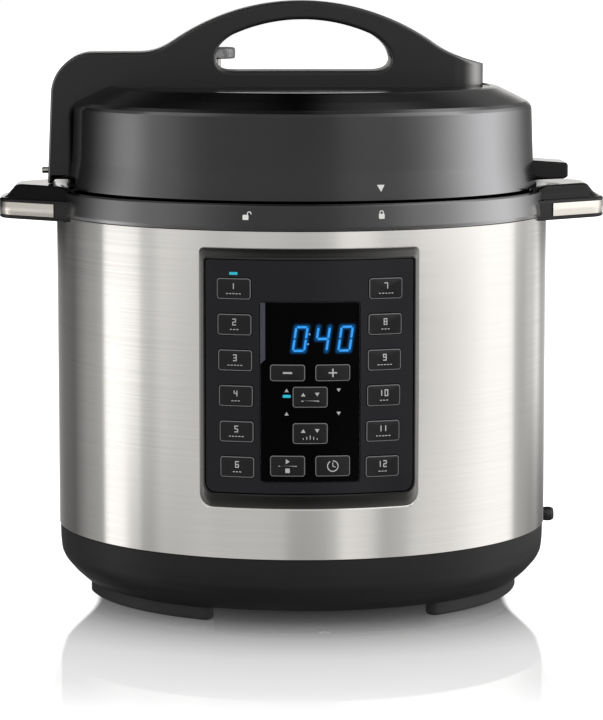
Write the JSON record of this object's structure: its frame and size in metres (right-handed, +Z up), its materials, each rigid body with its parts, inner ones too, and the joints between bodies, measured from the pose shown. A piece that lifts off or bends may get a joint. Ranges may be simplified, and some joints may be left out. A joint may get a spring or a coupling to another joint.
{
  "type": "electric pressure cooker",
  "caption": "Electric pressure cooker with a brushed steel body, a curved front control panel, side handles and a twist-off lid with an arched handle.",
  "frame": {"origin": "middle of the footprint, on the worktop that the feet stand on", "axes": "+Z up; +X to the right as seen from the front; the control panel faces -Y and the condensate collector +Y"},
  "size_m": [0.332, 0.2971, 0.3243],
  "materials": {
    "base_black": "matt moulded",
    "foot_rubber": "matt",
    "board_green": "lacquered circuit board",
    "gland_black": "smooth",
    "brushed_wall": "brushed round",
    "pressed_steel": "plain pressed",
    "satin_black": "satin",
    "bezel_black": "satin",
    "heater_aluminium": "cast and turned",
    "pot_aluminium": "satin with measuring marks",
    "gloss_black": "polished",
    "band_steel": "thin trim",
    "carrier_black": "matt moulded",
    "membrane_grey": "printed film",
    "overlay_black": "satin-gloss film",
    "key_black": "satin-gloss film with a printed outline",
    "screen_black": "polished tinted window",
    "display_blue": "lit digits behind the window",
    "lid_grey": "satin",
    "fastener_steel": "plain",
    "seal_silicone": "translucent silicone",
    "knob_grey": "silver-grey lacquer",
    "float_red": "anodised pin",
    "collector_smoke": "smoked clear plastic"
  },
  "bodies": {
    "housing": {"base_shell": "base_black", "bottom_cover": "base_black", "foot_front_left": "foot_rubber", "foot_front_right": "foot_rubber", "foot_rear_right": "foot_rubber", "foot_rear_left": "foot_rubber", "power_board": "board_green", "cord_gland": "gland_black", "steel_wall": "brushed_wall", "top_ring": "satin_black", "steel_well": "pressed_steel", "heating_plate": "heater_aluminium", "side_handle_right": "gloss_black", "side_handle_left": "gloss_black", "handle_band_right": "band_steel", "handle_band_left": "band_steel", "control_bezel": "bezel_black", "panel_carrier": "carrier_black", "control_board": "board_green", "switch_membrane": "membrane_grey", "control_overlay": "overlay_black", "display_window": "screen_black", "display_module": "display_blue", "collector_holder": "satin_black"},
    "sensor": {"sensor_cap": "heater_aluminium", "sensor_spring": "fastener_steel"},
    "pot": {"cooking_pot": "pot_aluminium"},
    "seal": {"sealing_ring": "seal_silicone"},
    "lid": {"lid_cover": "lid_grey", "lid_handle": "satin_black", "handle_screw_1": "fastener_steel", "handle_screw_2": "fastener_steel", "lid_tab": "gloss_black", "inner_lid": "pressed_steel", "inner_lid_bolt": "fastener_steel", "gasket_rack": "fastener_steel", "steam_pipe": "fastener_steel", "valve_shield": "fastener_steel"},
    "valve_stem": {"steam_valve_stem": "fastener_steel"},
    "valve_knob": {"steam_valve_knob": "knob_grey"},
    "float": {"float_valve": "float_red"},
    "collector": {"condensate_collector": "collector_smoke"},
    "key_left_1": {"key_left_1": "key_black"},
    "key_right_1": {"key_right_1": "key_black"},
    "key_left_2": {"key_left_2": "key_black"},
    "key_right_2": {"key_right_2": "key_black"},
    "key_left_3": {"key_left_3": "key_black"},
    "key_right_3": {"key_right_3": "key_black"},
    "key_left_4": {"key_left_4": "key_black"},
    "key_right_4": {"key_right_4": "key_black"},
    "key_left_5": {"key_left_5": "key_black"},
    "key_right_5": {"key_right_5": "key_black"},
    "key_left_6": {"key_left_6": "key_black"},
    "key_right_6": {"key_right_6": "key_black"},
    "key_minus": {"key_minus": "key_black"},
    "key_plus": {"key_plus": "key_black"},
    "key_pressure": {"key_pressure": "key_black"},
    "key_temperature": {"key_temperature": "key_black"},
    "key_start": {"key_start": "key_black"},
    "key_timer": {"key_timer": "key_black"}
  },
  "joints": [
    {"name": "lid_lift", "type": "slide", "parent": "housing", "child": "seal", "axis": [0, 0, 1], "range_m": [0, 0.42]},
    {"name": "lid_turn", "type": "hinge", "parent": "seal", "child": "lid", "pos_m": [0, -0.0092, 0.25], "axis": [0, 0, 1], "range_deg": [-30, 0]},
    {"name": "pot_lift", "type": "slide", "parent": "housing", "child": "pot", "axis": [0, 0, 1], "range_m": [0, 0.19]},
    {"name": "steam_valve_lift", "type": "slide", "parent": "lid", "child": "valve_stem", "axis": [0, 0, 1], "range_m": [0, 0.03]},
    {"name": "steam_valve_turn", "type": "hinge", "parent": "valve_stem", "child": "valve_knob", "pos_m": [-0.048, 0.0328, 0.29], "axis": [0, 0, 1], "range_deg": [0, 60]},
    {"name": "float_rise", "type": "slide", "parent": "lid", "child": "float", "axis": [0, 0, 1], "range_m": [0, 0.0035]},
    {"name": "sensor_press", "type": "slide", "parent": "housing", "child": "sensor", "axis": [0, 0, -1], "range_m": [0, 0.003], "stiffness_N_per_m": 800, "deforming": ["sensor_spring"]},
    {"name": "collector_slide", "type": "slide", "parent": "housing", "child": "collector", "axis": [0, 1, 0], "range_m": [0, 0.04]},
    {"name": "key_left_1_press", "type": "slide", "parent": "housing", "child": "key_left_1", "axis": [0.284, 0.9588, 0], "range_m": [0, 0.0005], "stiffness_N_per_m": 1500},
    {"name": "key_right_1_press", "type": "slide", "parent": "housing", "child": "key_right_1", "axis": [-0.284, 0.9588, 0], "range_m": [0, 0.0005], "stiffness_N_per_m": 1500},
    {"name": "key_left_2_press", "type": "slide", "parent": "housing", "child": "key_left_2", "axis": [0.2817, 0.9595, 0], "range_m": [0, 0.0005], "stiffness_N_per_m": 1500},
    {"name": "key_right_2_press", "type": "slide", "parent": "housing", "child": "key_right_2", "axis": [-0.2817, 0.9595, 0], "range_m": [0, 0.0005], "stiffness_N_per_m": 1500},
    {"name": "key_left_3_press", "type": "slide", "parent": "housing", "child": "key_left_3", "axis": [0.2793, 0.9602, 0], "range_m": [0, 0.0005], "stiffness_N_per_m": 1500},
    {"name": "key_right_3_press", "type": "slide", "parent": "housing", "child": "key_right_3", "axis": [-0.2793, 0.9602, 0], "range_m": [0, 0.0005], "stiffness_N_per_m": 1500},
    {"name": "key_left_4_press", "type": "slide", "parent": "housing", "child": "key_left_4", "axis": [0.277, 0.9609, 0], "range_m": [0, 0.0005], "stiffness_N_per_m": 1500},
    {"name": "key_right_4_press", "type": "slide", "parent": "housing", "child": "key_right_4", "axis": [-0.277, 0.9609, 0], "range_m": [0, 0.0005], "stiffness_N_per_m": 1500},
    {"name": "key_left_5_press", "type": "slide", "parent": "housing", "child": "key_left_5", "axis": [0.2746, 0.9615, 0], "range_m": [0, 0.0005], "stiffness_N_per_m": 1500},
    {"name": "key_right_5_press", "type": "slide", "parent": "housing", "child": "key_right_5", "axis": [-0.2746, 0.9615, 0], "range_m": [0, 0.0005], "stiffness_N_per_m": 1500},
    {"name": "key_left_6_press", "type": "slide", "parent": "housing", "child": "key_left_6", "axis": [0.2723, 0.9622, 0], "range_m": [0, 0.0005], "stiffness_N_per_m": 1500},
    {"name": "key_right_6_press", "type": "slide", "parent": "housing", "child": "key_right_6", "axis": [-0.2723, 0.9622, 0], "range_m": [0, 0.0005], "stiffness_N_per_m": 1500},
    {"name": "key_minus_press", "type": "slide", "parent": "housing", "child": "key_minus", "axis": [0.0845, 0.9964, 0], "range_m": [0, 0.0005], "stiffness_N_per_m": 1500},
    {"name": "key_plus_press", "type": "slide", "parent": "housing", "child": "key_plus", "axis": [-0.0845, 0.9964, 0], "range_m": [0, 0.0005], "stiffness_N_per_m": 1500},
    {"name": "key_pressure_press", "type": "slide", "parent": "housing", "child": "key_pressure", "axis": [0, 1, 0], "range_m": [0, 0.0005], "stiffness_N_per_m": 1500},
    {"name": "key_temperature_press", "type": "slide", "parent": "housing", "child": "key_temperature", "axis": [0, 1, 0], "range_m": [0, 0.0005], "stiffness_N_per_m": 1500},
    {"name": "key_start_press", "type": "slide", "parent": "housing", "child": "key_start", "axis": [0.0845, 0.9964, 0], "range_m": [0, 0.0005], "stiffness_N_per_m": 1500},
    {"name": "key_timer_press", "type": "slide", "parent": "housing", "child": "key_timer", "axis": [-0.0845, 0.9964, 0], "range_m": [0, 0.0005], "stiffness_N_per_m": 1500}
  ],
  "couplings": [
    {"joint": "pot_lift", "follows": "lid_lift", "ratio": 0.45}
  ]
}
